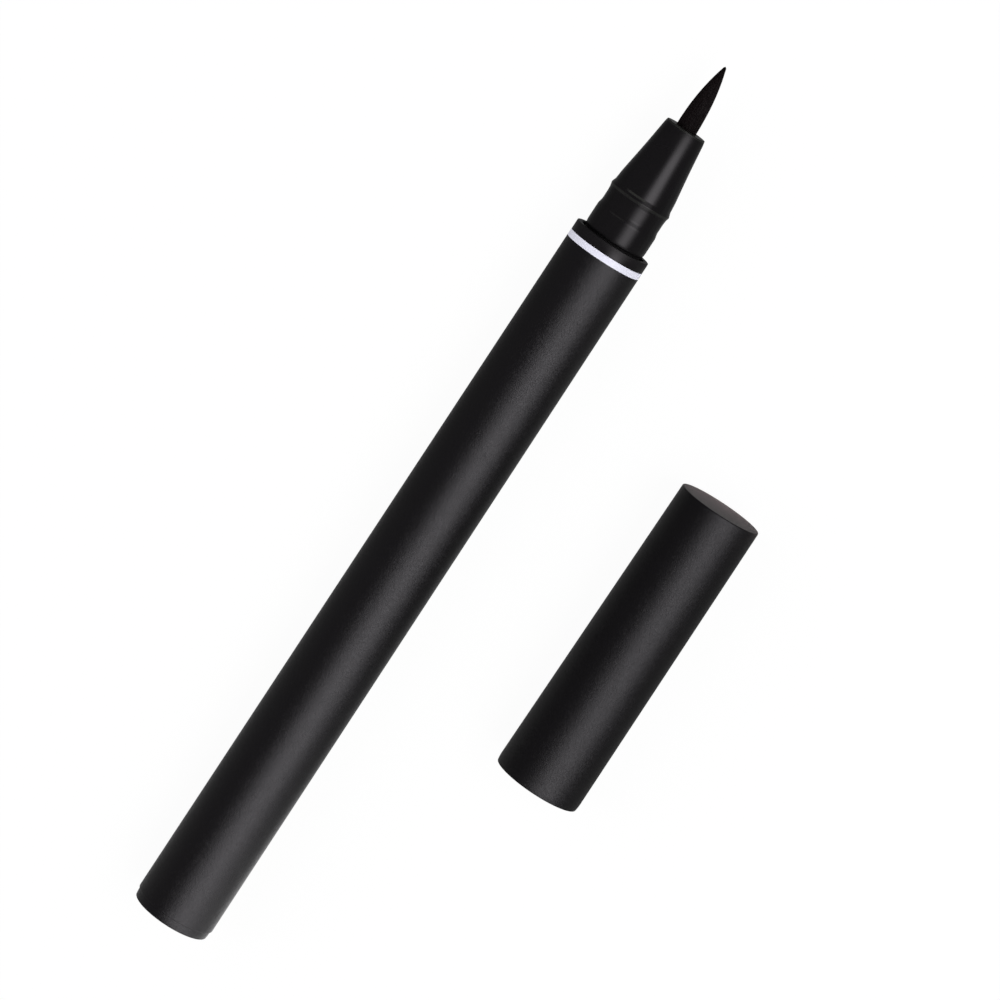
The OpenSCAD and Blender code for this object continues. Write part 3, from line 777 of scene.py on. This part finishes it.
def grow_spring(piece, material):
    """A compression spring of round wire whose end turns lie closed."""
    sizes = {"Turns": 10.5, "Closed Turns": 1.25, "Radius": 3.35 * MM, "Wire": 0.5 * MM,
             "Start X": CAP.start.x + (spring_start + SPRING_INSET) * MM,
             "Length": (spring_end - spring_start - 2 * SPRING_INSET) * MM,
             "Axis Y": CAP.start.y, "Axis Z": CAP.start.z, "Stations": 420}
    growth = Growth("spring_coil", sizes)
    share = growth.node("GeometryNodeInputIndex") / (growth.size("Stations") - 1.0)
    turns = share * growth.size("Turns")
    closed = growth.size("Closed Turns")
    lift = growth.size("Wire") * 1.04
    closed_rise = turns.least(closed) * lift
    open_turns = growth.size("Turns") - closed * 2.0
    open_rise = (growth.size("Length") - closed * lift * 2.0) / open_turns
    after = (turns - closed).most(0.0).least(open_turns) * open_rise
    last = (turns - closed - open_turns).most(0.0) * lift
    angle = turns * (2 * math.pi)
    spot = growth.point(growth.size("Start X") + closed_rise + after + last,
                        growth.size("Axis Y") + angle.sin() * growth.size("Radius"),
                        growth.size("Axis Z") + angle.cos() * growth.size("Radius"))
    line = growth.node("GeometryNodePoints", None,
                       {"Count": growth.size("Stations"), "Position": spot})
    wire = growth.node("GeometryNodePointsToCurves", None, {"Points": line})
    section = growth.node("GeometryNodeCurvePrimitiveCircle", None,
                          {"Resolution": 16, "Radius": 0.5})
    coil = growth.node("GeometryNodeCurveToMesh", None,
                       {"Curve": wire, "Profile Curve": section, "Scale": growth.size("Wire"),
                        "Fill Caps": True})
    smooth = growth.node("GeometryNodeSetShadeSmooth", None,
                         {"Geometry": coil, "Shade Smooth": True})
    growth.apply(piece, smooth, material)


# ---- the pen and its cap ----

for node, axis, body, slot, material in TURNED:
    piece = placed("turned_" + node, turned_mesh(node, axis, OUTLINES[node]))
    if node == "cap_shell":
        grow_ribs(piece, material)
    dress(piece, material, body, node)

root_outline = [
    (brush_start, 0),
    (brush_start, 1.6, 0.05),
    (brush_start + 0.8, 1.6, 0.05),
    (brush_start + 0.8, 1.33),
    (nozzle_end - HAIR_SINK, 1.33),
    (nozzle_end, 1.22),
    (nozzle_end + 3.4, 1.06),
    (nozzle_end + 5.6, 0.74),
    (nozzle_end + 7.1, 0.42),
    (nozzle_end + 7.9, 0.12),
    (nozzle_end + 7.9, 0),
]
hair_finish = inked_hair("inked_hair")
brush = placed("brush_hairs", turned_mesh("brush_hairs", PEN, root_outline))
grow_hairs(brush, hair_finish)
dress(brush, hair_finish, "pen", "brush_bristles")

wire_finish = steel("spring_wire", 5, 0.28, (0.55, 0.55, 0.56))
spring = placed("coiled_spring", bpy.data.meshes.new("coiled_spring"))
grow_spring(spring, wire_finish)
dress(spring, wire_finish, "cap", "cap_spring")
travel = INNER_TRAVEL / (cap_end - CAP_WALL - spring_start)
1 - travel
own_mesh(spring)

CAD_FINISHES = {
    "mixing_ball": steel("ball_steel", 15, 0.12, (0.62, 0.62, 0.64)),
    "collector": natural_plastic("collector_plastic", 81, (0.62, 0.63, 0.61)),
    "collector_seal": black_rubber("seal_rubber"),
    "feed_core": bonded_fibre("core_fibre"),
    "brush_ferrule": natural_plastic("ferrule_plastic", 91, (0.35, 0.35, 0.35)),
}
for node, material in CAD_FINISHES.items():
    for material_slot in frame["nodes"][node].material_slots:
        material_slot.material = material


# ---- floor, light and camera ----


def sheet(name, width, strength, diffuse, height):
    """A square white sheet below the object, and its finish."""
    half = width / 2
    corners = [(x * half, y * half, height) for x, y in ((-1, -1), (1, -1), (1, 1), (-1, 1))]
    mesh = bpy.data.meshes.new(name)
    mesh.from_pydata(corners, [], [(0, 1, 2, 3)])
    piece = placed(name, mesh)
    paper = Finish(name, Roughness=1.0, Specular_IOR_Level=0.0, Emission_Strength=strength)
    paper.set("Base Color", (diffuse, diffuse, diffuse, 1.0))
    paper.set("Emission Color", (*WHITE, 1.0))
    mesh.materials.append(paper.material)
    return piece, paper


FLOOR_WIDTH = 60.0
CAP_PATCH = (0.74, 0.57, 0.58)

# The camera sees an evenly bright floor. Gloss sees a dimmer sheet just below it, which is
# brighter beside the tail and along the pen, and has a warm patch before the cap's closed
# end, for its end face. The patch stays in place when the cap moves.
floor, _ = sheet("floor", FLOOR_WIDTH, 0.953, 0.05, 0.0)
floor.visible_glossy = False
glow, glow_paper = sheet("floor_glow", FLOOR_WIDTH, 1.0, 0.0, -0.0005)
glow.visible_camera = False
glow.visible_diffuse = False
glow.visible_shadow = False
along, aside = glow_paper.along(), glow_paper.aside()
pen_aside, cap_aside = PEN.start.y / MM, CAP.start.y / MM
by_pen = 1.0 - (aside - pen_aside).size().rise(4.0, 14.0)
by_cap = 1.0 - (aside - cap_aside).size().rise(4.0, 12.0)
left = 0.12 + (1.0 - along.rise(-90.0, 30.0)) * 0.12
tail_side = (1.0 - along.rise(-75.0, -22.0)) ** 1.6
rear_half = 1.0 - along.rise(-40.0, 40.0)
right = 0.16 + tail_side * (0.42 + by_pen * 1.8) + rear_half * by_pen * 0.25
nearness = (by_pen * 0.8).most(by_cap * 0.5)
level = (left + (right - left) * (1.0 - aside.rise(0.0, 14.0))) * (1.0 + nearness)
past_end = along.rise(17.0, 17.4) * (1.0 - along.rise(17.5, 18.3))
before_cap = past_end * (1.0 - aside.rise(-8.0, -7.0))
sheen = glow_paper.mix(level, BLACK, WHITE)
glow_paper.set("Emission Color", glow_paper.mix(before_cap, sheen, CAP_PATCH))


def softbox(name, towards, distance, size, radiance):
    """A rectangular area light that faces the object and isn't seen by the camera."""
    light = bpy.data.lights.new(name, "AREA")
    light.shape = "RECTANGLE"
    light.size, light.size_y = size
    light.energy = radiance * math.pi * size[0] * size[1]
    lamp = bpy.data.objects.new(name, light)
    bpy.context.scene.collection.objects.link(lamp)
    away = Vector(towards).normalized()
    across = Vector((1, 0, 0))
    across = (across - away * across.dot(away)).normalized()
    third = away.cross(across)
    lamp.matrix_world = Matrix((across, third, away)).transposed().to_4x4()
    lamp.location = away * distance
    lamp.visible_camera = False
    return lamp


# The key light is above the cap's side: four nested softboxes, so that it dims towards its
# long edges, one more over the pen's front, and a wing at either end. Each part has a half
# angle, where it begins and ends along the pen at a metre's height, and a radiance. No two
# lie in one plane.
KEY_PARTS = (
    (8.0, -0.34, 0.39, 0.72),
    (14.0, -0.34, 0.39, 1.16),
    (20.0, -0.34, 0.39, 1.05),
    (27.0, -0.34, 0.39, 0.71),
    (17.0, 0.03, 0.39, 1.3),
    (19.0, -0.85, -0.34, 1.5),
    (19.0, 0.39, 0.85, 1.2),
)
key_tilt = math.radians(30.3)
key_way = (0.0, -math.sin(key_tilt), math.cos(key_tilt))
for number, (half_angle, begin, end, radiance) in enumerate(KEY_PARTS):
    away = 1.0 + 0.01 * number
    size = ((end - begin) * away, 2 * away * math.tan(math.radians(half_angle)))
    key = softbox(f"key_{number}", key_way, away, size, radiance)
    key.location.x += (begin + end) / 2 * away

# The fill shows in no gloss, and the card and the lamp beyond the tail show only in gloss.
fill = softbox("fill_light", (0.0, 0.7, 0.7), 1.2, (1.4, 1.0), 1.6)
fill.visible_glossy = False
card = softbox("tail_card", (0.0, -1.0, 0.0), 0.05, (0.05, 0.04), 1.25)
card.location = (-0.0925, PEN.start.y - 0.05, 0.02)
card.visible_diffuse = False
lamp = softbox("tail_lamp", (0.0, -0.45, 0.89), 0.15, (0.075, 0.125), 1.8)
lamp.location += Vector((-0.1225, PEN.start.y, 0.0))
lamp.visible_diffuse = False

world = bpy.data.worlds.new("studio")
world.use_nodes = True
background = world.node_tree.nodes["Background"]
background.inputs["Color"].default_value = (0.184, 0.176, 0.188, 1.0)
bpy.context.scene.world = world

# The camera looks down on the pen from in front of it, with the tip to the upper right.
EYE = PEN.start + Vector((0.157175, -0.0056605, 0.5616))
AIM = PEN.start + Vector((0.065265, -0.0056605, 0.0))
ROLL = math.radians(33.34)
forward = (AIM - EYE).normalized()
length_way = Vector((1, 0, 0))
length_way = (length_way - forward * length_way.dot(forward)).normalized()
side_way = forward.cross(length_way)
up = length_way * math.cos(ROLL) - side_way * math.sin(ROLL)
right = length_way * math.sin(ROLL) + side_way * math.cos(ROLL)
lens = bpy.data.cameras.new("camera")
lens.lens = 171.0
lens.sensor_width = 36.0
lens.clip_start = 0.01
lens.clip_end = 100.0
camera = bpy.data.objects.new("camera", lens)
bpy.context.scene.collection.objects.link(camera)
camera.matrix_world = Matrix((right, up, -forward)).transposed().to_4x4()
camera.location = EYE
bpy.context.scene.camera = camera
bpy.context.scene.view_settings.view_transform = "Standard"
